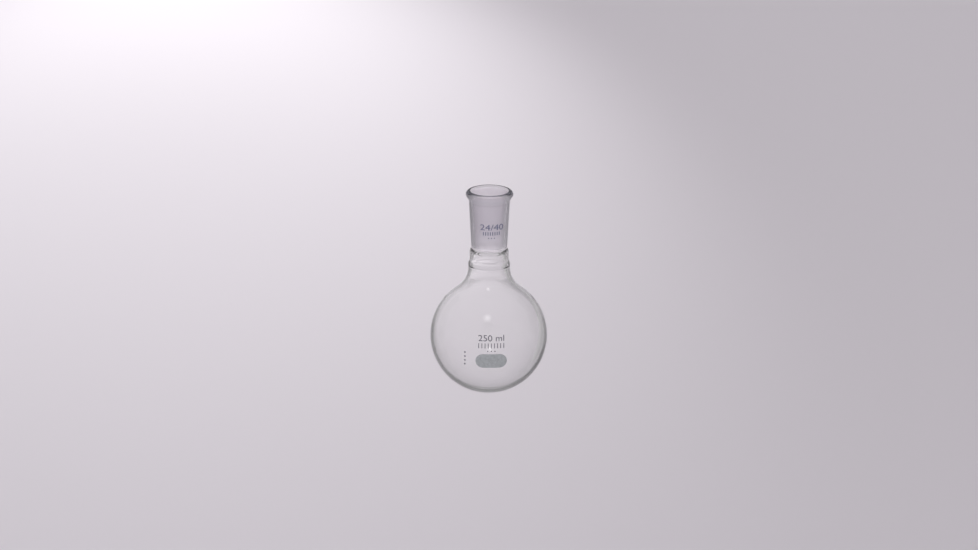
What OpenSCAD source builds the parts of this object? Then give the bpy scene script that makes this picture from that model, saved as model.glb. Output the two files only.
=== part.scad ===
// Round bottom boiling flask, 250 ml, with a short neck and a 24/40 ground joint.
// The glass is split where the real flask was fused: bulb, seal ring, neck tube, ground socket, mouth bead.
// The axis of the flask is Z, the lowest point of the bulb is at the origin, and the prints face -Y.

/* [Bulb] */
// Outer diameter of the bulb
bulb_d = 85; // [82:0.5:88]
// Wall thickness at the bulb's equator
bulb_wall = 1.5; // [1.3:0.1:2.2]
// How much thicker the wall is at the base than at the equator
base_extra = 0.4; // [0:0.1:0.6]
// Radius of the hollow curve from the bulb into the neck
shoulder_r = 20; // [17:0.5:22]

/* [Neck] */
// Outer diameter at the foot of the neck
neck_foot_d = 30.4; // [29.6:0.1:32]
// Outer diameter at the waist of the clear neck
waist_d = 28.4; // [27.6:0.1:29]
// Wall thickness of the clear neck
neck_wall = 1.5; // [1.3:0.1:2]
// Height of the fused seal ring
seal_h = 2.4; // [1.6:0.2:3]
// How far the seal ring bulges into the bore
seal_bulge = 0.22; // [0.1:0.02:0.4]
// Depth of the shallow groove that runs round the outside of the seal ring
seal_groove = 0.12; // [0.06:0.02:0.2]
// Length of the plain cylindrical throat below the ground cone
throat_len = 1; // [0.8:0.1:2]
// Height of the step from the clear neck's bore in to the throat
step_len = 0.5; // [0.3:0.1:2]

/* [Ground joint] */
// Bore at the wide end of the ground cone
joint_d = 24; // [23.8:0.1:24.2]
// Length of the ground cone
joint_len = 40; // [38:0.5:41]
// Length of cone in which the bore narrows by one unit
joint_taper = 10; // [9:0.5:12]
// Wall thickness at the narrow end of the ground cone
joint_wall = 3.1; // [2.6:0.1:3.4]
// Wall thickness at the wide end, where the bead begins
bead_foot_wall = 3.2; // [2.8:0.1:3.4]

/* [Mouth] */
// Height of the whole flask
height = 152; // [150:0.5:156]
// Section radius of the rolled bead
bead_r = 2.75; // [2.4:0.05:3]
// Distance from the flask's axis to the middle of the bead's section
bead_mid_r = 14.4; // [14.2:0.1:14.8]
// Height from the bead's foot to the middle of its section
bead_rise = 5.4; // [4.6:0.2:6]
// Slope of the bead's flank, from level, at its widest
flank_angle = 27; // [20:1:35]
// Section radius of the bead's inner edge
rim_r = 1; // [0.6:0.1:1.4]
// Height of the bevelled mouth above the ground cone
lip_len = 1.2; // [0.8:0.1:1.8]

/* [Enamel] */
// Width of the writing spot
spot_w = 22.6; // [16:0.2:28]
// Height of the writing spot
spot_h = 10.8; // [8:0.2:14]
// Height of the writing spot's middle above the base
spot_z = 36.2; // [32:0.2:42]
// Thickness of the fired enamel
enamel_t = 0.12; // [0.05:0.01:0.2]
// Diameter of one side mark
mark_d = 1.2; // [0.6:0.1:1.6]
// Spacing of the side marks
mark_gap = 3.1; // [2:0.1:4]
// Number of side marks
mark_count = 4; // [3:1:5]
// Distance from the flask's middle to the column of side marks
mark_x = 18.8; // [16:0.2:22]
// Height of the column's middle above the base
mark_z = 37.4; // [34:0.2:42]

/* [Hidden] */
$fn = 96;
// How far a fill or a cutter runs past the face that it meets
overlap = 1;

glass = [0.82, 0.86, 0.87, 0.45];
ground_glass = [0.72, 0.72, 0.75];
enamel = [0.58, 0.61, 0.61];

// Bulb: an outer and an inner sphere, the inner one raised to thicken the base
bulb_r = bulb_d / 2;
bore_r = bulb_r - bulb_wall;
bore_z = bulb_r + base_extra;

// Shoulder: a hollow arc that touches the sphere and the foot of the neck
foot_r = neck_foot_d / 2;
foot_bore_r = foot_r - neck_wall;
shoulder_mid_r = foot_r + shoulder_r;
function foot_height(sphere_r, sphere_z, arc_r) =
    sphere_z + sqrt(pow(sphere_r + arc_r, 2) - pow(shoulder_mid_r, 2));
foot_z = foot_height(bulb_r, bulb_r, shoulder_r);

// Seal ring, on the foot of the neck
seal_top = foot_z + seal_h;
function seal_arc_r(rise) = (pow(seal_h / 2, 2) + pow(rise, 2)) / (2 * rise);

// Ground cone, measured down from the mouth
cone_top = height - lip_len;
cone_low = cone_top - joint_len;
throat_low = cone_low - throat_len;
throat_r = (joint_d - joint_len / joint_taper) / 2;
function cone_r(z) = throat_r + (z - cone_low) / joint_taper / 2;

// Bead and the outside of the socket
bead_z = height - bead_r;
bead_foot_z = bead_z - bead_rise;
socket_low_r = throat_r + joint_wall;
socket_high_r = cone_r(bead_foot_z) + bead_foot_wall;
flank_r = bead_mid_r + bead_r * cos(flank_angle);
flank_z = bead_z - bead_r * sin(flank_angle);

// Mouth: a straight bevel from the top of the cone that touches the bead's inner edge
rim_z = height - rim_r;
bevel_run = [bead_mid_r - cone_r(cone_top), rim_z - cone_top];
bevel_angle = atan2(bevel_run[1], bevel_run[0]) + asin(rim_r / norm(bevel_run));
bevel_r = bead_mid_r - rim_r * sin(bevel_angle);
bevel_z = rim_z + rim_r * cos(bevel_angle);

// Clear neck: eased curves from the foot to the waist, and from the waist to the throat
waist_r = waist_d / 2;
waist_low = seal_top + 5;
waist_high = throat_low - 4;
steps = 10;
function ease(t) = t * t * (3 - 2 * t);
function eased(low, high) = [
    for (i = [0:steps])
        [low[0] + (high[0] - low[0]) * ease(i / steps), low[1] + (high[1] - low[1]) * i / steps]
];
function reversed(points) = [for (i = [len(points) - 1:-1:0]) points[i]];

// The bulb's outline, filled from the axis outwards, up to top_z
module bulb_outline(sphere_r, sphere_z, arc_r, top_z) {
    arc_z = foot_height(sphere_r, sphere_z, arc_r);
    intersection() {
        union() {
            translate([0, sphere_z]) circle(r = sphere_r);
            difference() {
                polygon([[0, sphere_z], [shoulder_mid_r, arc_z], [0, arc_z]]);
                translate([shoulder_mid_r, arc_z]) circle(r = arc_r);
            }
            translate([0, arc_z - overlap]) square([shoulder_mid_r - arc_r, top_z - arc_z + overlap]);
        }
        square([2 * bulb_r, top_z]);
    }
}

module bulb() {
    color(glass) rotate_extrude() difference() {
        bulb_outline(bulb_r, bulb_r, shoulder_r, foot_z);
        bulb_outline(bore_r, bore_z, shoulder_r + bulb_wall, foot_z + overlap);
    }
}

// A band of wall that bulges into the bore under a shallow outer groove, as molten glass does at a seal
module seal_ring() {
    bulge_arc_r = seal_arc_r(seal_bulge);
    groove_arc_r = seal_arc_r(seal_groove);
    color(glass) rotate_extrude() translate([0, foot_z + seal_h / 2]) difference() {
        union() {
            translate([foot_bore_r, -seal_h / 2]) square([neck_wall, seal_h]);
            intersection() {
                translate([foot_bore_r - seal_bulge, -seal_h / 2]) square([neck_wall, seal_h]);
                translate([foot_bore_r - seal_bulge + bulge_arc_r, 0]) circle(r = bulge_arc_r);
            }
        }
        translate([foot_r - seal_groove + groove_arc_r, 0]) circle(r = groove_arc_r);
    }
}

// The clear shank: it narrows to a waist and steps in to the throat under the ground cone
module neck_tube() {
    outside = concat(
        eased([foot_r, seal_top], [waist_r, waist_low]),
        eased([waist_r, waist_high], [socket_low_r, throat_low]),
        [[socket_low_r, cone_low]]);
    inside = concat(
        [[throat_r, cone_low]],
        reversed(eased([waist_r - neck_wall, throat_low - step_len], [throat_r, throat_low])),
        reversed(eased([foot_bore_r, seal_top], [waist_r - neck_wall, waist_low])));
    color(glass) rotate_extrude() polygon(concat(outside, inside));
}

module ground_socket() {
    color(ground_glass) rotate_extrude() polygon([
        [throat_r, cone_low],
        [socket_low_r, cone_low],
        [socket_high_r, bead_foot_z],
        [cone_r(bead_foot_z), bead_foot_z]
    ]);
}

// A round section melted onto the tube's end, with a straight flank below it and a bevelled mouth inside it
module mouth_bead() {
    color(glass) rotate_extrude() union() {
        intersection() {
            translate([bead_mid_r, bead_z]) circle(r = bead_r);
            translate([bead_mid_r, bead_z - bead_r]) square([bead_r, 2 * bead_r]);
        }
        translate([bead_mid_r, rim_z]) circle(r = rim_r);
        polygon([
            [cone_r(bead_foot_z), bead_foot_z],
            [socket_high_r, bead_foot_z],
            [flank_r, flank_z],
            [bead_mid_r, bead_z],
            [bead_mid_r, rim_z],
            [bevel_r, bevel_z],
            [cone_r(cone_top), cone_top]
        ]);
    }
}

// A skin of fired enamel on the front of the bulb, in the outline of its children
module enamel_skin() {
    intersection() {
        difference() {
            translate([0, 0, bulb_r]) sphere(r = bulb_r + enamel_t);
            translate([0, 0, bulb_r]) sphere(r = bulb_r);
        }
        rotate([90, 0, 0]) linear_extrude(height = bulb_r + overlap) children();
    }
}

module writing_spot() {
    end_x = (spot_w - spot_h) / 2;
    color(enamel) enamel_skin() translate([0, spot_z]) union() {
        for (side = [-1, 1]) translate([side * end_x, 0]) circle(d = spot_h);
        translate([-end_x, -spot_h / 2]) square([2 * end_x, spot_h]);
    }
}

module side_marks() {
    color(enamel) for (i = [0:mark_count - 1])
        enamel_skin() translate([-mark_x, mark_z + (i - (mark_count - 1) / 2) * mark_gap]) circle(d = mark_d);
}

bulb();
seal_ring();
neck_tube();
ground_socket();
mouth_bead();
writing_spot();
side_marks();
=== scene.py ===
"""Round bottom flask of clear glass with a ground joint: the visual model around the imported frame.

The glass is one lathed outline, cut at the seams where the real flask was fused. Each section is its own
closed mesh, and light crosses the seams without a break. Lengths are in metres, the flask's axis is Z, and
the printed marks face -Y.
"""
import math

import bmesh
import bpy
from mathutils import Matrix, Vector


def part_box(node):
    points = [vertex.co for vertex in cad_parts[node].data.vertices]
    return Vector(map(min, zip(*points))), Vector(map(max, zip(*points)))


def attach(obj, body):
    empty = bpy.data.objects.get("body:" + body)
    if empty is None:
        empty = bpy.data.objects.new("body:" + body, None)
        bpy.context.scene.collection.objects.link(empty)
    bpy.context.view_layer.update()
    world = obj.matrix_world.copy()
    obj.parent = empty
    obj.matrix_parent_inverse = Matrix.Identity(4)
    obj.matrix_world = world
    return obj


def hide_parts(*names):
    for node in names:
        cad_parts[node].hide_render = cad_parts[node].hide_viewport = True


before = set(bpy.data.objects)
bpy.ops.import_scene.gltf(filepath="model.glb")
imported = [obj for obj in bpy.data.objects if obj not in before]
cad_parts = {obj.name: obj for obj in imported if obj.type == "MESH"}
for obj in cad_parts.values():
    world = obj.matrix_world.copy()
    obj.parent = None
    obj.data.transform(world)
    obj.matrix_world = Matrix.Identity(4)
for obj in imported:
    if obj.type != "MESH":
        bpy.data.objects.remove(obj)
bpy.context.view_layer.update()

MM = 0.001
TINY = 1e-7                                 # places closer than this are one place
WELD = 1e-6                                 # the same for the corners of lettering
WHITE = (1, 1, 1)
BLACK = (0, 0, 0)


# ------------------------------------------------------------------------------------------------
# Sizes read from the frame, and the few that the frame's boxes don't show
# ------------------------------------------------------------------------------------------------

def top_of(node):
    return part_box(node)[1].z


def low_of(node):
    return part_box(node)[0].z


def radius_of(node):
    return (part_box(node)[1].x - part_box(node)[0].x) / 2


BULB_R = radius_of("bulb")
FOOT_R = radius_of("neck_tube")             # the neck where it leaves the bulb
FOOT_Z = top_of("bulb")
SEAL_TOP = top_of("seal_ring")
CONE_LOW = low_of("ground_socket")
SOCKET_TOP_R = radius_of("ground_socket")
BEAD_FOOT_Z = low_of("mouth_bead")
BEAD_OUT_R = radius_of("mouth_bead")
TOP_Z = top_of("mouth_bead")

WALL = 1.5 * MM                             # bulb and clear neck
BASE_EXTRA = 0.4 * MM                       # the bulb's inner sphere sits this much higher
SHOULDER_R = 20.0 * MM
SEAL_GROOVE = 0.12 * MM
SEAL_BULGE = 0.22 * MM
WAIST_R = 14.2 * MM
STEP_LEN = 0.5 * MM                         # height of the step from the clear neck's bore in to the throat
THROAT_R = 10.0 * MM
THROAT_LEN = 1.0 * MM
JOINT_WALL = 3.1 * MM                       # at the narrow end of the ground cone
TAPER = 1 / 20                              # change of the cone's radius along its length
BEAD_R = 2.75 * MM
RIM_R = 1.0 * MM                            # the bead's rounded inner edge
FLANK_ANGLE = math.radians(27)
LIP_LEN = 1.2 * MM                          # the bevelled mouth above the cone

THROAT_LOW = CONE_LOW - THROAT_LEN
STEP_LOW = THROAT_LOW - STEP_LEN
CONE_TOP = TOP_Z - LIP_LEN
BEAD_Z = TOP_Z - BEAD_R
BEAD_MID_R = BEAD_OUT_R - BEAD_R
RIM_Z = TOP_Z - RIM_R


def cone_r(z):
    """Radius of the ground cone's bore at height z."""
    return THROAT_R + (z - CONE_LOW) * TAPER


def socket_r(z):
    """Outer radius of the ground socket at height z."""
    low = THROAT_R + JOINT_WALL
    return low + (SOCKET_TOP_R - low) * (z - CONE_LOW) / (BEAD_FOOT_Z - CONE_LOW)


# The mouth's bevel runs straight from the top of the cone and touches the bead's inner edge.
BEVEL_RUN = Vector((BEAD_MID_R - cone_r(CONE_TOP), RIM_Z - CONE_TOP))
BEVEL_END = math.pi / 2 + math.atan2(BEVEL_RUN.y, BEVEL_RUN.x) + math.asin(RIM_R / BEVEL_RUN.length)
BEVEL_TOP = RIM_Z + RIM_R * math.sin(BEVEL_END)

# What only the looks need
NARROW_OUT = 4 * MM                         # height in which the outside narrows from the seal to the waist
NARROW_IN = 5 * MM                          # the same on the inside
WIDEN_OUT = 4 * MM                          # height in which the outside widens to the socket
BEAD_LEAD = 1.6 * MM                        # length of the handles of the curve from the socket to the bead
SOFT_BELOW = 7 * MM                         # reach of the softened change from sphere to shoulder
SOFT_ABOVE = 10 * MM
FROST_BELOW = 0.6 * MM                      # the frosting runs this far below the step


# ------------------------------------------------------------------------------------------------
# Camera
# ------------------------------------------------------------------------------------------------

SENSOR_MM = 36
LENS_MM = 147.24                            # a long lens, from far away
CAMERA_FAR = 2.917                          # camera to the bulb's middle
SIGHT_DOWN = math.radians(18.5)             # slope of the line of sight to the bulb's middle
AIM_ABOVE = math.radians(0.851)             # the lens points this far above the bulb's middle
TURN = math.radians(-2.7)                   # the marks face slightly right of the camera
ROLL = math.radians(0.34)
CLIP_FAR = 30


def to_camera(down):
    """Direction from the flask to the camera, on a line of sight with this slope."""
    return Vector((math.sin(TURN) * math.cos(down), -math.cos(TURN) * math.cos(down), math.sin(down)))


def make_camera():
    data = bpy.data.cameras.new("camera")
    data.sensor_width = SENSOR_MM
    data.lens = LENS_MM
    data.clip_end = CLIP_FAR
    cam = bpy.data.objects.new("camera", data)
    bpy.context.collection.objects.link(cam)
    look = -to_camera(SIGHT_DOWN - AIM_ABOVE)
    cam.location = Vector((0, 0, BULB_R)) + to_camera(SIGHT_DOWN) * CAMERA_FAR
    cam.rotation_mode = "QUATERNION"
    cam.rotation_quaternion = look.to_track_quat("-Z", "Y") @ Matrix.Rotation(ROLL, 3, "Z").to_quaternion()
    bpy.context.scene.camera = cam


# ------------------------------------------------------------------------------------------------
# The glass outline: points (r, z)
# ------------------------------------------------------------------------------------------------

FINE_STEP = math.radians(1.5)               # turn between the points of an arc
BEAD_STEP = math.radians(5)
RIM_STEP = math.radians(6)
SOCKET_PARTS = 28                           # parts of the socket's lines, outside and inside


def arc(mid_r, mid_z, radius, start, end, step=FINE_STEP):
    """Points on an arc between two angles."""
    count = max(2, math.ceil(abs(end - start) / step))
    angles = [start + (end - start) * i / count for i in range(count + 1)]
    return [(mid_r + radius * math.cos(a), mid_z + radius * math.sin(a)) for a in angles]


def ease(t):
    return t * t * (3 - 2 * t)


def eased(low, high, count=12):
    """Points that leave low and reach high parallel to the axis."""
    return [(low[0] + (high[0] - low[0]) * ease(i / count), low[1] + (high[1] - low[1]) * i / count)
            for i in range(count + 1)]


def straight(low, high, count):
    return [(low[0] + (high[0] - low[0]) * i / count, low[1] + (high[1] - low[1]) * i / count)
            for i in range(count + 1)]


def bump(radius, low, high, rise, count=16):
    """A smooth swelling of the wall between two heights, outwards, or inwards where rise is negative."""
    return [(radius + rise * (1 - math.cos(2 * math.pi * i / count)) / 2, low + (high - low) * i / count)
            for i in range(count + 1)]


def bezier(p0, p1, p2, p3, count=14):
    points = []
    for i in range(count + 1):
        t = i / count
        weights = ((1 - t) ** 3, 3 * t * (1 - t) ** 2, 3 * t * t * (1 - t), t ** 3)
        points.append(tuple(sum(w * p[k] for w, p in zip(weights, (p0, p1, p2, p3))) for k in (0, 1)))
    return points


def softened(points, low, high, passes=28):
    """Spreads out the change of curvature between two arcs, at heights from low to high."""
    for _ in range(passes):
        points = [tuple((a[k] + 2 * b[k] + c[k]) / 4 for k in (0, 1)) if low < b[1] < high else b
                  for a, b, c in zip(points[:1] + points, points, points[1:] + points[-1:])]
    return points


def bulb_line(sphere_r, sphere_z, shoulder_r):
    """From the pole round the sphere and up the shoulder's hollow curve to the neck's foot."""
    mid_r = FOOT_R + SHOULDER_R
    mid_z = sphere_z + math.sqrt((sphere_r + shoulder_r) ** 2 - mid_r ** 2)
    touch = math.atan2(mid_z - sphere_z, mid_r)
    foot = math.pi - math.asin((mid_z - FOOT_Z) / -shoulder_r)
    sphere = arc(0, sphere_z, sphere_r, -math.pi / 2, touch)
    shoulder = arc(mid_r, mid_z, shoulder_r, touch + math.pi, foot)
    touch_z = sphere_z + sphere_r * math.sin(touch)
    return softened(sphere + shoulder[1:], touch_z - SOFT_BELOW, touch_z + SOFT_ABOVE)


def outer_line():
    """The outside of the glass from the bottom pole to the mouth's crest, in sections."""
    waist_low = (WAIST_R, SEAL_TOP + NARROW_OUT)
    waist_high = (WAIST_R, THROAT_LOW - WIDEN_OUT)
    socket_foot = (socket_r(THROAT_LOW), THROAT_LOW)
    socket_low = (socket_r(CONE_LOW), CONE_LOW)
    bead_foot = (SOCKET_TOP_R, BEAD_FOOT_Z)
    flank = (BEAD_MID_R + BEAD_R * math.cos(FLANK_ANGLE), BEAD_Z - BEAD_R * math.sin(FLANK_ANGLE))
    leave = (bead_foot[0] + BEAD_LEAD * TAPER, bead_foot[1] + BEAD_LEAD)
    arrive = (flank[0] - BEAD_LEAD * math.sin(FLANK_ANGLE), flank[1] - BEAD_LEAD * math.cos(FLANK_ANGLE))
    return {
        "bulb": bulb_line(BULB_R, BULB_R, SHOULDER_R),
        "seal": bump(FOOT_R, FOOT_Z, SEAL_TOP, -SEAL_GROOVE),
        "neck": eased((FOOT_R, SEAL_TOP), waist_low)
        + straight(waist_low, waist_high, count=4)[1:]
        + eased(waist_high, socket_foot)[1:]
        + straight(socket_foot, socket_low, count=2)[1:],
        "socket": straight(socket_low, bead_foot, SOCKET_PARTS),
        "bead": bezier(bead_foot, leave, arrive, flank)
        + arc(BEAD_MID_R, BEAD_Z, BEAD_R, -FLANK_ANGLE, math.pi / 2, BEAD_STEP)[1:],
    }


def inner_line():
    """The inside from the bulb's pole to the mouth's crest, in sections."""
    bore = FOOT_R - WALL
    waist = WAIST_R - WALL
    waist_low = (waist, SEAL_TOP + NARROW_IN)
    waist_high = (waist, STEP_LOW)
    throat_foot = (THROAT_R, THROAT_LOW)
    cone_foot = (THROAT_R, CONE_LOW)
    bead_foot = (cone_r(BEAD_FOOT_Z), BEAD_FOOT_Z)
    mouth = (cone_r(CONE_TOP), CONE_TOP)
    edge = (BEAD_MID_R + RIM_R * math.cos(BEVEL_END), BEVEL_TOP)
    return {
        "bulb": bulb_line(BULB_R - WALL, BULB_R + BASE_EXTRA, SHOULDER_R + WALL),
        "seal": bump(bore, FOOT_Z, SEAL_TOP, -SEAL_BULGE),
        "neck": eased((bore, SEAL_TOP), waist_low)
        + straight(waist_low, waist_high, count=16)[1:]
        + eased(waist_high, throat_foot)[1:]
        + straight(throat_foot, cone_foot, count=3)[1:],
        "socket": straight(cone_foot, bead_foot, SOCKET_PARTS),
        "bead": straight(bead_foot, mouth, count=6)
        + straight(mouth, edge, count=4)[1:]
        + arc(BEAD_MID_R, RIM_Z, RIM_R, BEVEL_END, math.pi / 2, RIM_STEP)[1:],
    }


def line_normals(sections, outward):
    """Normals (r, z) for each section's points, worked out along the whole line so that seams match."""
    chain, owners = [], []
    for name, points in sections.items():
        for i, point in enumerate(points):
            if chain and math.dist(point, chain[-1]) < TINY:
                owners[-1].append((name, i))
                continue
            chain.append(point)
            owners.append([(name, i)])
    normals = {name: [None] * len(points) for name, points in sections.items()}
    for k, owned in enumerate(owners):
        before = chain[max(k - 1, 0)]
        after = chain[min(k + 1, len(chain) - 1)]
        along = Vector((after[0] - before[0], after[1] - before[1])).normalized()
        normal = Vector((along.y, -along.x)) * (1 if outward else -1)
        if chain[k][0] < TINY:
            normal = Vector((0, math.copysign(1, normal.y)))
        for name, i in owned:
            normals[name][i] = normal
    return normals


# ------------------------------------------------------------------------------------------------
# Lathing
# ------------------------------------------------------------------------------------------------

TURNS = 192
CLEAR, RIM, INNER, JOINT, GROUND, SEAM = range(6)  # material slots of a glass section


def lathe(name, rings, bands, loop):
    """A closed mesh from rings (r, z, normal) and the material of the band after each ring.

    The rings either make a loop or run from pole to pole.
    """
    verts, normals, starts = [], [], []
    for r, z, normal in rings:
        starts.append(len(verts))
        if r < TINY:
            verts.append((0, 0, z))
            normals.append((0, 0, normal[1]))
            continue
        for k in range(TURNS):
            a = 2 * math.pi * k / TURNS
            verts.append((r * math.cos(a), r * math.sin(a), z))
            normals.append((normal[0] * math.cos(a), normal[0] * math.sin(a), normal[1]))
    faces, kinds = [], []
    count = len(rings)
    for i in range(count if loop else count - 1):
        j = (i + 1) % count
        for k in range(TURNS):
            n = (k + 1) % TURNS
            low = [starts[i]] if rings[i][0] < TINY else [starts[i] + k, starts[i] + n]
            high = [starts[j]] if rings[j][0] < TINY else [starts[j] + n, starts[j] + k]
            faces.append(low + high)
            kinds.append(bands[i])
    mesh = bpy.data.meshes.new(name)
    mesh.from_pydata(verts, [], faces)
    mesh.polygons.foreach_set("use_smooth", [True] * len(faces))
    mesh.polygons.foreach_set("material_index", kinds)
    mesh.normals_split_custom_set_from_vertices(normals)
    mesh.update()
    piece = bpy.data.objects.new(name, mesh)
    bpy.context.collection.objects.link(piece)
    return piece


def outer_bands(part, up):
    """The material of each band up the outside: the rim's begins in the bead's upper quarter."""
    if part == "bead":
        return [JOINT if ring[1] < BEAD_Z + BEAD_R / 2 else RIM for ring in up]
    return [JOINT if part == "socket" else CLEAR] * (len(up) - 1) + [SEAM]


def inner_bands(part, down):
    """The material of each band down the inside: frosted from the bevel's top to just below the step."""
    bands = []
    for ring, after in zip(down, down[1:]):
        if STEP_LOW - FROST_BELOW < (ring[1] + after[1]) / 2 < BEVEL_TOP:
            bands.append(GROUND)
        else:
            bands.append(RIM if part == "bead" else INNER)
    return bands + [SEAM]


def glass_section(part, outer, inner, outer_normals, inner_normals):
    """The rings of one section, up the outside and down the inside, and the materials of its bands."""
    up = [(p[0], p[1], n) for p, n in zip(outer[part], outer_normals[part])]
    down = [(p[0], p[1], n) for p, n in zip(inner[part], inner_normals[part])][::-1]
    if part == "bead":
        down = down[1:]                     # the crest's ring ends the outside already
    return up + down, outer_bands(part, up) + inner_bands(part, down)


# ------------------------------------------------------------------------------------------------
# Materials
# ------------------------------------------------------------------------------------------------

GLASS_IOR = 1.473                           # borosilicate glass
WAVE_SCALE = 45                             # waviness of blown glass: cells per metre, and its depth
WAVE_DEPTH = 0.06 * MM

# Painted edge shade by how far a face turns from the view, from 0 face on to 1 edge on
PAINTED_EDGE_SHADE = (
    (0.18, WHITE), (0.45, (0.91, 0.91, 0.91)), (0.80, (0.63, 0.64, 0.63)), (1.0, (0.34, 0.36, 0.34)),
)
# Painted dark line along the bead's crest, where it turns away from the view
PAINTED_RIM_SHADE = (
    (0.17, WHITE), (0.32, (0.45, 0.46, 0.49)), (0.47, (0.06, 0.065, 0.08)), (1.0, (0.02, 0.022, 0.03)),
)
RIM_GLOSS = 0.1                             # so that the rim's painted dark line isn't washed out by reflections
# Heights in mm, and how far the painted edge shade fades there: 0 not at all, 1 to clear
EDGE_SHADE_FADE = ((50, 0), (66, 1), (78, 1), (85, 0), (92, 0.2), (95, 0.65), (106, 0.65), (109, 1))

JOINT_TINT = (0.66, 0.655, 0.68)
JOINT_PALE = (0.75, 0.735, 0.765)
JOINT_HOLLOW_SHADE = (0.58, 0.58, 0.60)             # painted shade in the hollow under the bead
JOINT_EDGE_SHADE = (0.585, 0.61, 0.625)           # painted shade where the joint's face turns away
JOINT_BANDS = (                             # colours of the joint's outer face by height, with painted shade under the bead
    (CONE_LOW, JOINT_PALE),
    (CONE_LOW + 9 * MM, JOINT_TINT),
    (BEAD_FOOT_Z - 1.2 * MM, JOINT_TINT),
    (BEAD_FOOT_Z + 0.6 * MM, JOINT_HOLLOW_SHADE),
    (BEAD_FOOT_Z + 2.4 * MM, JOINT_TINT),
)
JOINT_TURN = ((0.15, BLACK), (0.6, WHITE))  # share of the painted edge shade, by the turn from the view

FROST_COLOR = (0.94, 0.92, 0.97)
FROST_ROUGHNESS = (0.28, 0.38)
FROST_GRAIN_DEPTH = 0.02 * MM
POWDER_HEIGHT = 16 * MM                     # height in which the powder goes from its low to its high colour
POWDER = ((0, (0.98, 0.94, 0.98)), (1, (0.88, 0.83, 0.88)))
POWDER_SHARE = (0.5, 0.9)                   # face on and edge on
FROST_PATCH_SCALE = 900                     # cells of noise per metre, here and below
FROST_GRAIN_SCALE = 2500

ENAMEL_SPECK_SCALE = 700
ENAMEL_GRAIN_SCALE = 3000
ENAMEL_GRAIN_DEPTH = 0.03 * MM
SPOT_COLORS = ((0.215, 0.231, 0.236), (0.48, 0.50, 0.515))
INK_COLORS = ((0.09, 0.09, 0.11), (0.14, 0.135, 0.16))
JOINT_INK_COLORS = ((0.145, 0.155, 0.24), (0.205, 0.215, 0.31))
SPOT_ROUGHNESS = 0.6
INK_ROUGHNESS = 0.5


def set_stops(ramp, stops):
    """Gives a colour ramp these (place, colour) stops."""
    elements = ramp.color_ramp.elements
    while len(elements) < len(stops):
        elements.new(0.5)
    for element, (place, color) in zip(elements, stops):
        element.position = place
        element.color = (*color, 1)


class Nodes:
    """A short way to build a material's node tree."""

    def __init__(self, name):
        self.material = bpy.data.materials.new(name)
        self.material.use_nodes = True
        self.tree = self.material.node_tree
        self.tree.nodes.clear()
        self.out = self.add("ShaderNodeOutputMaterial")

    def add(self, kind, **values):
        node = self.tree.nodes.new(kind)
        for key, value in values.items():
            setattr(node, key, value)
        return node

    def link(self, source, target):
        self.tree.links.new(source, target)

    def principled(self, color, roughness=0.0):
        shader = self.add("ShaderNodeBsdfPrincipled")
        shader.inputs["Base Color"].default_value = (*color, 1)
        shader.inputs["Roughness"].default_value = roughness
        self.link(shader.outputs[0], self.out.inputs["Surface"])
        return shader

    def glass(self, color=WHITE):
        shader = self.principled(color)
        shader.inputs["Transmission Weight"].default_value = 1.0
        shader.inputs["IOR"].default_value = GLASS_IOR
        return shader

    def clear_glass(self):
        """Polished glass with the slight waviness of blown ware."""
        shader = self.glass()
        self.bump(shader, self.noise(WAVE_SCALE, detail=1.0), WAVE_DEPTH)
        return shader

    def place(self):
        """The object's own coordinates, which are the flask's."""
        return self.add("ShaderNodeTexCoord").outputs["Object"]

    def facing(self):
        """How far the face turns from the view: 0 face on, 1 edge on."""
        return self.add("ShaderNodeLayerWeight").outputs["Facing"]

    def noise(self, scale, detail, stretch=(1, 1, 1)):
        """Noise with this many cells per metre, times the stretch along each axis."""
        mapping = self.add("ShaderNodeMapping")
        mapping.inputs["Scale"].default_value = stretch
        texture = self.add("ShaderNodeTexNoise")
        texture.inputs["Scale"].default_value = scale
        texture.inputs["Detail"].default_value = detail
        self.link(self.place(), mapping.inputs["Vector"])
        self.link(mapping.outputs[0], texture.inputs["Vector"])
        return texture.outputs["Fac"]

    def split(self):
        node = self.add("ShaderNodeSeparateXYZ")
        self.link(self.place(), node.inputs[0])
        return node

    def span(self, source, low, high):
        """0 where the source is low, 1 where it is high."""
        node = self.add("ShaderNodeMapRange")
        node.inputs["From Min"].default_value = low
        node.inputs["From Max"].default_value = high
        self.link(source, node.inputs["Value"])
        return node.outputs["Result"]

    def height(self, low, high):
        """0 at height low, 1 at height high."""
        return self.span(self.split().outputs["Z"], low, high)

    def azimuth(self):
        """The turn about the flask's axis, from 0 to 1: 0.5 at +Y, more towards +X."""
        split = self.split()
        angle = self.add("ShaderNodeMath", operation="ARCTAN2")
        self.link(split.outputs["X"], angle.inputs[0])
        self.link(split.outputs["Y"], angle.inputs[1])
        return self.span(angle.outputs[0], -math.pi, math.pi)

    def spread(self, source, low, high):
        """Maps 0..1 to low..high."""
        node = self.add("ShaderNodeMapRange")
        node.inputs["To Min"].default_value = low
        node.inputs["To Max"].default_value = high
        self.link(source, node.inputs["Value"])
        return node.outputs["Result"]

    def ramp(self, source, stops):
        node = self.add("ShaderNodeValToRGB")
        set_stops(node, stops)
        self.link(source, node.inputs[0])
        return node.outputs[0]

    def blend(self, factor, first, second):
        """From the first colour, which may be an output, to the second."""
        node = self.add("ShaderNodeMix", data_type="RGBA")
        if isinstance(first, tuple):
            node.inputs["A"].default_value = (*first, 1)
        else:
            self.link(first, node.inputs["A"])
        node.inputs["B"].default_value = (*second, 1)
        self.link(factor, node.inputs["Factor"])
        return node.outputs["Result"]

    def mix_shaders(self, factor, first, second):
        node = self.add("ShaderNodeMixShader")
        self.link(factor, node.inputs[0])
        self.link(first.outputs[0], node.inputs[1])
        self.link(second.outputs[0], node.inputs[2])
        return node

    def bump(self, shader, height, distance):
        node = self.add("ShaderNodeBump")
        node.inputs["Distance"].default_value = distance
        self.link(height, node.inputs["Height"])
        self.link(node.outputs[0], shader.inputs["Normal"])


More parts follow.
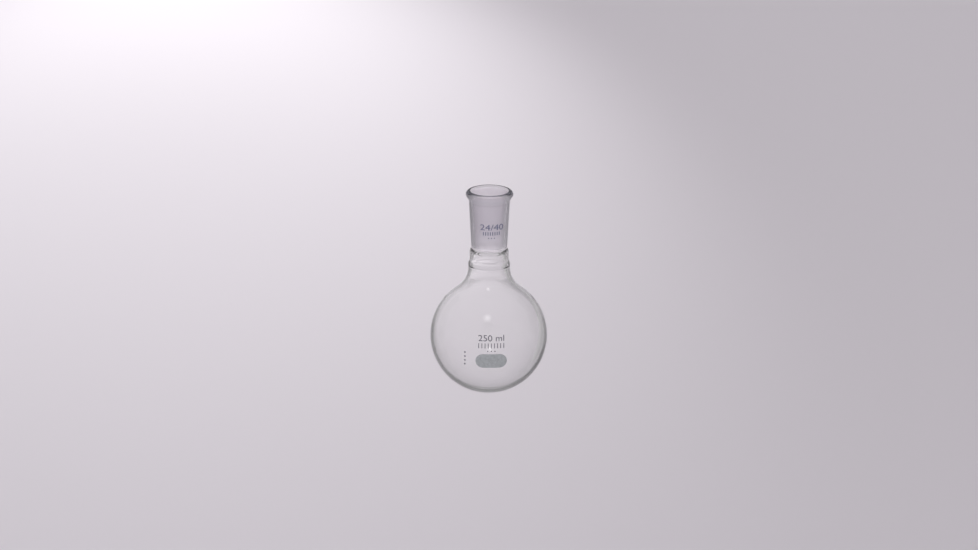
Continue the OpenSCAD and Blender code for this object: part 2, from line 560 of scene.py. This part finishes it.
def outer_glass():
    """The outer face of the bulb and the neck, with painted edge shade for the dark parts of a room."""
    nodes = Nodes("clear_glass")
    shader = nodes.clear_glass()
    # painted shade on the edges, faded out by height
    colour_and_painted_shade = nodes.ramp(nodes.facing(), PAINTED_EDGE_SHADE)
    fade = nodes.ramp(nodes.height(0, TOP_Z), [(z * MM / TOP_Z, (f, f, f)) for z, f in EDGE_SHADE_FADE])
    nodes.link(nodes.blend(fade, colour_and_painted_shade, WHITE), shader.inputs["Base Color"])
    return nodes.material


def rim_glass():
    """The bead's crest, with a painted dark line where it turns away."""
    nodes = Nodes("rim_glass")
    shader = nodes.clear_glass()
    shader.inputs["Specular IOR Level"].default_value = RIM_GLOSS
    nodes.link(nodes.ramp(nodes.facing(), PAINTED_RIM_SHADE), shader.inputs["Base Color"])
    return nodes.material


def inner_glass():
    """The inner face of the clear glass."""
    nodes = Nodes("inner_glass")
    nodes.clear_glass()
    return nodes.material


def joint_glass():
    """Joint's outer face: slightly grey, paler low down; painted shade in the hollow under the bead and at
    edges.
    """
    nodes = Nodes("joint_glass")
    shader = nodes.clear_glass()
    stops = [((z - CONE_LOW) / (TOP_Z - CONE_LOW), color) for z, color in JOINT_BANDS]
    colour_and_painted_shade = nodes.ramp(nodes.height(CONE_LOW, TOP_Z), stops)
    # share of the painted shade on the edges, by the turn from the view
    edge_shade_share = nodes.ramp(nodes.facing(), JOINT_TURN)
    nodes.link(nodes.blend(edge_shade_share, colour_and_painted_shade, JOINT_EDGE_SHADE), shader.inputs["Base Color"])
    return nodes.material


def ground_glass():
    """Ground glass: part of the light passes it, blurred, and part is scattered back by its powdery face."""
    nodes = Nodes("ground_glass")
    shader = nodes.glass(FROST_COLOR)
    patches = nodes.noise(FROST_PATCH_SCALE, detail=3.0)
    nodes.link(nodes.spread(patches, *FROST_ROUGHNESS), shader.inputs["Roughness"])
    grain = nodes.noise(FROST_GRAIN_SCALE, detail=2.0, stretch=(1, 1, 4))
    nodes.bump(shader, grain, FROST_GRAIN_DEPTH)
    powder = nodes.add("ShaderNodeBsdfDiffuse")
    nodes.link(nodes.ramp(nodes.height(CONE_LOW, CONE_LOW + POWDER_HEIGHT), POWDER), powder.inputs["Color"])
    surface = nodes.mix_shaders(nodes.spread(nodes.facing(), *POWDER_SHARE), shader, powder)
    nodes.link(surface.outputs[0], nodes.out.inputs["Surface"])
    return nodes.material


def seam_glass():
    """The plane where two fused sections meet: light passes it unchanged."""
    nodes = Nodes("fused_seam")
    shader = nodes.add("ShaderNodeBsdfTransparent")
    nodes.link(shader.outputs[0], nodes.out.inputs["Surface"])
    return nodes.material


def enamel(name, dark, light, roughness):
    """Fired enamel: a speckle between two colours on a fine grain."""
    nodes = Nodes(name)
    shader = nodes.principled(light, roughness)
    specks = nodes.noise(ENAMEL_SPECK_SCALE, detail=4.0)
    nodes.link(nodes.blend(specks, dark, light), shader.inputs["Base Color"])
    nodes.bump(shader, nodes.noise(ENAMEL_GRAIN_SCALE, detail=2.0), ENAMEL_GRAIN_DEPTH)
    return nodes.material


# ------------------------------------------------------------------------------------------------
# Enamel prints
# ------------------------------------------------------------------------------------------------

ENAMEL_SUNK = 0.03 * MM                     # fired into the glass
PRINT_PROUD = 0.05 * MM
SPOT_PROUD = 0.12 * MM
SPOT_W = 2 * radius_of("writing_spot")
SPOT_H = top_of("writing_spot") - low_of("writing_spot")
SPOT_Z = (top_of("writing_spot") + low_of("writing_spot")) / 2
MARK_COUNT = 4
LETTER_PARTS = 6                            # parts of each curve in a letter's outline
CELL = 0.8 * MM                             # pitch of the cells that follow the curved glass
CELL_SHIFT = 0.013                          # keeps the cells' edges off the outlines' own corners

# Rows of print as (left end, width, low, high), and the bars in a row as (count, width of a bar)
CAPACITY_ROW = (-9.3 * MM, 18.6 * MM, 51.1 * MM, 55.4 * MM)
CAPACITY_BAR_ROW = (-9.3 * MM, 18.6 * MM, 46.0 * MM, 49.6 * MM)
CAPACITY_BARS = (9, 0.55 * MM)
CAPACITY_DOTS = (-2.6 * MM, 0, 2.6 * MM)
CAPACITY_DOT_Z = 43.8 * MM
CAPACITY_DOT_R = 0.45 * MM
JOINT_ROW = (-7.4 * MM, 17.6 * MM, 125.9 * MM, 130.3 * MM)
JOINT_BAR_ROW = (-5.2 * MM, 12.4 * MM, 122.0 * MM, 124.6 * MM)
JOINT_BARS = (8, 0.6 * MM)
JOINT_DOTS = (-1.1 * MM, 1.0 * MM, 3.1 * MM)
JOINT_DOT_Z = 119.9 * MM
JOINT_DOT_R = 0.4 * MM


def on_bulb(u, v, proud):
    """The point of the bulb's front at x = u and height v."""
    r = BULB_R + proud
    up = v - BULB_R
    return Vector((u, -math.sqrt(r * r - u * u - up * up), v))


def on_socket(u, v, proud):
    """The point of the socket's front at height v, u along the surface from the middle."""
    r = socket_r(v) + proud
    a = u / socket_r(v)
    return Vector((r * math.sin(a), -r * math.cos(a), v))


def flat_outlines(outlines):
    """A flat bmesh of filled outlines in (u, v)."""
    bm = bmesh.new()
    for points in outlines:
        bm.faces.new([bm.verts.new((u, v, 0)) for u, v in points])
    return bm


def flat_text(body, left, width, low, high):
    """A flat bmesh of plain lettering that fills a row."""
    curve = bpy.data.curves.new("lettering", "FONT")
    curve.body = body
    curve.resolution_u = LETTER_PARTS
    holder = bpy.data.objects.new("lettering", curve)
    bpy.context.collection.objects.link(holder)
    mesh = bpy.data.meshes.new_from_object(holder.evaluated_get(bpy.context.evaluated_depsgraph_get()))
    bm = bmesh.new()
    bm.from_mesh(mesh)
    bpy.data.objects.remove(holder)
    bpy.data.curves.remove(curve)
    bpy.data.meshes.remove(mesh)
    bmesh.ops.remove_doubles(bm, verts=bm.verts, dist=WELD)
    us = [vert.co.x for vert in bm.verts]
    vs = [vert.co.y for vert in bm.verts]
    for vert in bm.verts:
        u = left + (vert.co.x - min(us)) / (max(us) - min(us)) * width
        v = low + (vert.co.y - min(vs)) / (max(vs) - min(vs)) * (high - low)
        vert.co = (u, v, 0)
    return bm


def cut_grid(bm):
    """Cuts the flat faces into cells, so that they can follow a curved surface."""
    for axis, normal in enumerate((Vector((1, 0, 0)), Vector((0, 1, 0)))):
        values = [vert.co[axis] for vert in bm.verts]
        for i in range(math.ceil(min(values) / CELL), math.floor(max(values) / CELL) + 1):
            bmesh.ops.bisect_plane(bm, geom=bm.verts[:] + bm.edges[:] + bm.faces[:],
                                   plane_co=normal * (i + CELL_SHIFT) * CELL, plane_no=normal, dist=TINY)


def enamel_piece(name, bm, place, proud, material):
    """A closed skin of enamel on a surface, from flat faces."""
    cut_grid(bm)
    bm.normal_update()
    for face in bm.faces:
        if face.normal.z < 0:
            face.normal_flip()
    bm.verts.index_update()
    flat = [vert.co.copy() for vert in bm.verts]
    count = len(flat)
    verts = [place(c.x, c.y, proud) for c in flat] + [place(c.x, c.y, -ENAMEL_SUNK) for c in flat]
    faces = [[vert.index for vert in face.verts] for face in bm.faces]
    backs = [[i + count for i in reversed(face)] for face in faces]
    sides = []
    for edge in bm.edges:
        if len(edge.link_faces) == 1:
            loop = next(loop for loop in edge.link_faces[0].loops if loop.edge == edge)
            a = loop.vert.index
            b = loop.link_loop_next.vert.index
            sides.append([b, a, a + count, b + count])
    bm.free()
    mesh = bpy.data.meshes.new(name)
    mesh.from_pydata([tuple(vert) for vert in verts], [], faces + backs + sides)
    mesh.update()
    mesh.materials.append(material)
    piece = bpy.data.objects.new(name, mesh)
    bpy.context.collection.objects.link(piece)
    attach(piece, "root")
    return piece


def stadium(width, height, mid_v, count=32):
    """A bar with round ends, on the flask's middle."""
    end_u = (width - height) / 2
    end_r = height / 2
    points = []
    for side in (1, -1):
        for i in range(count + 1):
            a = math.pi * i / count - side * math.pi / 2
            points.append((side * end_u + end_r * math.cos(a), mid_v + end_r * math.sin(a)))
    return points


def disc(u, v, radius, count=20):
    return [(u + radius * math.cos(2 * math.pi * i / count), v + radius * math.sin(2 * math.pi * i / count))
            for i in range(count)]


def bars(left, width, low, high, count, bar_w):
    """Plain upright bars that fill a row."""
    pitch = (width - bar_w) / (count - 1)
    lefts = [left + i * pitch for i in range(count)]
    return [[(u, low), (u + bar_w, low), (u + bar_w, high), (u, high)] for u in lefts]


# ------------------------------------------------------------------------------------------------
# Stage: floor, and the cards that only the glass sees
# ------------------------------------------------------------------------------------------------

FLOOR_Z = -1.0
FLOOR_R = 60.0
FLOOR_SIDES = 96
FLOOR_COLOR = (0.74, 0.706, 0.74)

HORIZON = (0.51, 0.49, 0.515)               # the world at the horizon, as bright as the far floor
SURROUND = (0.34, 0.33, 0.35)               # the darker walls of the studio
OVERHEAD = (0.50, 0.49, 0.51)               # the soft light overhead
ROOM_STOPS = ((0.03, HORIZON), (0.14, SURROUND), (0.55, SURROUND), (0.86, OVERHEAD))
# Between directions with these Y, the walls behind the flask give way to the horizon's shade in front of it
ROOM_BACK_Y = 0.1
ROOM_FRONT_Y = -0.5

CARD_R = 2.4
CARD_LOW = -0.98
CARD_HIGH = 0.3
PALE = (0.56, 0.54, 0.56)
GREY = (0.34, 0.335, 0.34)
DARK = (0.24, 0.24, 0.24)
LOW_DARK = (0.06, 0.062, 0.06)
LOW_MIDDLE = (0.23, 0.235, 0.23)
# Shades of the upright card, by degrees round from straight behind the flask, with gaps between its sectors
SIDE_SECTORS = (
    ((-82, PALE), (-77, GREY), (-58, GREY), (-53, PALE)),
    ((-37, PALE), (-33, DARK), (-16, DARK), (-9, PALE)),
    ((9, PALE), (18, GREY), (26, DARK), (35, DARK), (39, PALE)),
    ((53, PALE), (58, GREY), (77, GREY), (82, PALE)),
)
SIDE_RISE = ((0.35, BLACK), (1, WHITE))     # share of the horizon's shade, from the card's foot to its top
# Shades of the card that lies on the floor, and its parts as (from, to, near, far) in degrees and metres
LOW_SHADES = (
    (-77, GREY), (-58, GREY), (-33, LOW_DARK), (-10, LOW_MIDDLE),
    (10, LOW_MIDDLE), (34, LOW_DARK), (58, GREY), (77, GREY),
)
LOW_PARTS = (
    (-82, -53, 0.75, CARD_R), (-37, -15, 1.75, CARD_R), (-37, 39, 0.75, 1.75), (15, 39, 1.75, CARD_R),
    (53, 82, 0.75, CARD_R),
)


def make_floor():
    bm = bmesh.new()
    bmesh.ops.create_circle(bm, cap_ends=True, segments=FLOOR_SIDES, radius=FLOOR_R)
    mesh = bpy.data.meshes.new("floor")
    bm.to_mesh(mesh)
    bm.free()
    floor = bpy.data.objects.new("floor", mesh)
    floor.location.z = FLOOR_Z
    bpy.context.collection.objects.link(floor)
    nodes = Nodes("floor")
    nodes.principled(FLOOR_COLOR, roughness=1.0).inputs["Specular IOR Level"].default_value = 0
    mesh.materials.append(nodes.material)


def turned(radius, degrees, z):
    """A point at a distance from the flask's axis, degrees round from straight behind it."""
    a = math.radians(degrees)
    return (radius * math.sin(a), radius * math.cos(a), z)


def strip(start, end, low, high):
    """Two edges between two turns, at two places given as (radius, height)."""
    return [[turned(radius, degrees, z) for degrees in range(start, end + 1)] for radius, z in (low, high)]


def make_card(name, strips, shade):
    """A glowing grey card that only the glass sees, from strips, coloured by a function of its nodes."""
    bm = bmesh.new()
    for low, high in strips:
        pairs = [[bm.verts.new(point) for point in pair] for pair in zip(low, high)]
        for (a, b), (c, d) in zip(pairs, pairs[1:]):
            bm.faces.new((a, c, d, b))
    mesh = bpy.data.meshes.new(name)
    bm.to_mesh(mesh)
    bm.free()
    nodes = Nodes(name)
    emission = nodes.add("ShaderNodeEmission")
    nodes.link(shade(nodes), emission.inputs["Color"])
    nodes.link(emission.outputs[0], nodes.out.inputs["Surface"])
    mesh.materials.append(nodes.material)
    card = bpy.data.objects.new(name, mesh)
    card.visible_camera = False
    card.visible_diffuse = False
    card.visible_glossy = False
    card.visible_shadow = False
    bpy.context.collection.objects.link(card)


def turn_shade(nodes, shades):
    """The colour that the shades give at each turn about the axis."""
    return nodes.ramp(nodes.azimuth(), [(0.5 + degrees / 360, color) for degrees, color in shades])


def side_shade(nodes):
    """The sectors' shades, rising to the horizon's at the top."""
    sectors = turn_shade(nodes, [shade for sector in SIDE_SECTORS for shade in sector])
    return nodes.blend(nodes.ramp(nodes.height(CARD_LOW, CARD_HIGH), SIDE_RISE), sectors, HORIZON)


def low_shade(nodes):
    return turn_shade(nodes, LOW_SHADES)


def make_cards():
    foot, top = (CARD_R, CARD_LOW), (CARD_R, CARD_HIGH)
    sectors = [strip(sector[0][0], sector[-1][0], foot, top) for sector in SIDE_SECTORS]
    parts = [strip(start, end, (near, CARD_LOW), (far, CARD_LOW)) for start, end, near, far in LOW_PARTS]
    make_card("side_card", sectors, side_shade)
    make_card("low_card", parts, low_shade)


# ------------------------------------------------------------------------------------------------
# Lights
# ------------------------------------------------------------------------------------------------

POOL_PLACE = (-0.42, 9.5, 1.2)              # the lamp of the pool of light on the floor, behind the flask
POOL_TARGET = (-0.42, 4.4, FLOOR_Z)
POOL_WIDTH = 2.1
POOL_RADIANCE = 0.36
POOL_LAMP_R = 0.1
FILL_FROM = (0.1, -3.4, 0.95)
FILL_STRENGTH = 1.2
OVERHEAD_STRENGTH = 0.35
SUN_ANGLE = math.radians(30)                # soft shadows
FRONT_WAY = Vector((-0.08, -0.64, 0.77)).normalized()  # from the bulb's middle to the front lamps
FRONT_FAR = 1.4                             # from the bulb's middle to the nearest of them
FRONT_GAP = 0.01                            # from one of them to the next
FRONT_SIZES = (0.14, 0.26, 0.40)            # one behind the other: a highlight that fades outwards
FRONT_RADIANCE = 0.8


def hang(lamp, place, target):
    """Adds a lamp at a place, pointed at a target."""
    lamp.location = place
    lamp.rotation_mode = "QUATERNION"
    lamp.rotation_quaternion = (Vector(target) - Vector(place)).to_track_quat("-Z", "Y")
    bpy.context.collection.objects.link(lamp)


def unmirrored(lamp):
    """Keeps a lamp out of what the glass reflects and bends, where only the front lamps show."""
    lamp.visible_camera = False
    lamp.visible_glossy = False
    lamp.visible_transmission = False


def disc_lamp(name, place, target, size):
    """A round front lamp of the given diameter, which shows as a soft highlight."""
    data = bpy.data.lights.new(name, "AREA")
    data.shape = "DISK"
    data.size = size
    data.energy = FRONT_RADIANCE * math.pi * (math.pi * size * size / 4)
    hang(bpy.data.objects.new(name, data), place, target)


def pool_lamp(name, place, target):
    """A spot that lights a soft pool on the floor, as bright as POOL_RADIANCE at the target."""
    path = Vector(target) - Vector(place)
    data = bpy.data.lights.new(name, "SPOT")
    data.energy = POOL_RADIANCE * math.pi / FLOOR_COLOR[1] * 4 * math.pi * path.length ** 3 / -path.z
    data.spot_size = 2 * math.atan(POOL_WIDTH / 2 / path.length)
    data.spot_blend = 1.0
    data.shadow_soft_size = POOL_LAMP_R
    lamp = bpy.data.objects.new(name, data)
    hang(lamp, place, target)
    unmirrored(lamp)


def fill_lamp(name, place, strength):
    """A soft fill from far away, in the direction of place."""
    data = bpy.data.lights.new(name, "SUN")
    data.energy = strength
    data.angle = SUN_ANGLE
    lamp = bpy.data.objects.new(name, data)
    hang(lamp, place, (0, 0, 0))
    unmirrored(lamp)


def make_lights():
    bulb_mid = Vector((0, 0, BULB_R))
    pool_lamp("backdrop_lamp", POOL_PLACE, POOL_TARGET)
    fill_lamp("fill_lamp", FILL_FROM, FILL_STRENGTH)
    fill_lamp("overhead_lamp", (0, 0, 1), OVERHEAD_STRENGTH)
    for i, size in enumerate(FRONT_SIZES):
        disc_lamp(f"front_lamp_{i}", bulb_mid + FRONT_WAY * (FRONT_FAR + FRONT_GAP * i), bulb_mid, size)


def make_world():
    """Walls that darken above the horizon behind the flask, and stay as bright as the horizon in front."""
    world = bpy.data.worlds.new("studio")
    bpy.context.scene.world = world
    world.use_nodes = True
    nodes = world.node_tree.nodes
    links = world.node_tree.links
    place = nodes.new("ShaderNodeTexCoord")
    split = nodes.new("ShaderNodeSeparateXYZ")
    walls = nodes.new("ShaderNodeValToRGB")
    walls.color_ramp.interpolation = "EASE"
    set_stops(walls, ROOM_STOPS)
    front = nodes.new("ShaderNodeMapRange")
    front.inputs["From Min"].default_value = ROOM_BACK_Y
    front.inputs["From Max"].default_value = ROOM_FRONT_Y
    room = nodes.new("ShaderNodeMix")
    room.data_type = "RGBA"
    room.inputs["B"].default_value = (*HORIZON, 1)
    links.new(place.outputs["Generated"], split.inputs[0])
    links.new(split.outputs["Z"], walls.inputs[0])
    links.new(split.outputs["Y"], front.inputs["Value"])
    links.new(front.outputs["Result"], room.inputs["Factor"])
    links.new(walls.outputs[0], room.inputs["A"])
    links.new(room.outputs["Result"], nodes["Background"].inputs["Color"])


# ------------------------------------------------------------------------------------------------
# Build
# ------------------------------------------------------------------------------------------------

SECTIONS = (                                # section of the outline, CAD node, slot
    ("bulb", "bulb", "clear_glass"),
    ("seal", "seal_ring", "clear_glass"),
    ("neck", "neck_tube", "clear_glass"),
    ("socket", "ground_socket", "ground_glass"),
    ("bead", "mouth_bead", "clear_glass"),
)


def build_glass():
    outer = outer_line()
    inner = inner_line()
    outer_normals = line_normals(outer, True)
    inner_normals = line_normals(inner, False)
    materials = [outer_glass(), rim_glass(), inner_glass(), joint_glass(), ground_glass(), seam_glass()]
    for part, node, slot in SECTIONS:
        rings, bands = glass_section(part, outer, inner, outer_normals, inner_normals)
        piece = lathe(node + "_glass", rings, bands, part != "bulb")
        for material in materials:
            piece.data.materials.append(material)
        piece.visible_shadow = False        # lamps pass clear glass, as they do in reality
        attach(piece, "root")
        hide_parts(node)


def build_spot():
    paint = enamel("enamel_spot", *SPOT_COLORS, SPOT_ROUGHNESS)
    outline = flat_outlines([stadium(SPOT_W, SPOT_H, SPOT_Z)])
    piece = enamel_piece("writing_spot_enamel", outline, on_bulb, SPOT_PROUD, paint)
    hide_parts("writing_spot")


def build_side_marks(ink):
    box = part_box("side_marks")
    u = (box[0].x + box[1].x) / 2
    radius = radius_of("side_marks")
    first, last = box[0].z + radius, box[1].z - radius
    heights = [first + (last - first) * i / (MARK_COUNT - 1) for i in range(MARK_COUNT)]
    dots = flat_outlines([disc(u, v, radius) for v in heights])
    piece = enamel_piece("side_marks_enamel", dots, on_bulb, PRINT_PROUD, ink)
    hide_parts("side_marks")


def build_capacity_print(ink):
    """The capacity, and plain bars and dots where a real flask names its maker."""
    dots = [disc(u, CAPACITY_DOT_Z, CAPACITY_DOT_R) for u in CAPACITY_DOTS]
    for name, flat in (("capacity_print", flat_text("250 ml", *CAPACITY_ROW)),
                       ("bar_print", flat_outlines(bars(*CAPACITY_BAR_ROW, *CAPACITY_BARS))),
                       ("dot_print", flat_outlines(dots))):
        enamel_piece(name, flat, on_bulb, PRINT_PROUD, ink)


def build_joint_print():
    """The joint's size, with plain bars and dots under it."""
    ink = enamel("joint_print", *JOINT_INK_COLORS, INK_ROUGHNESS)
    dots = [disc(u, JOINT_DOT_Z, JOINT_DOT_R) for u in JOINT_DOTS]
    for name, flat in (("joint_size_print", flat_text("24/40", *JOINT_ROW)),
                       ("joint_bar_print", flat_outlines(bars(*JOINT_BAR_ROW, *JOINT_BARS))),
                       ("joint_dot_print", flat_outlines(dots))):
        enamel_piece(name, flat, on_socket, PRINT_PROUD, ink)


def build_prints():
    ink = enamel("enamel_print", *INK_COLORS, INK_ROUGHNESS)
    build_spot()
    build_side_marks(ink)
    build_capacity_print(ink)
    build_joint_print()


scene = bpy.context.scene
scene.view_settings.view_transform = "Standard"
scene.cycles.max_bounces = 40               # light crosses many faces of glass
scene.cycles.transmission_bounces = 32
scene.cycles.glossy_bounces = 16
make_camera()
make_world()
make_floor()
make_cards()
make_lights()
build_glass()
build_prints()
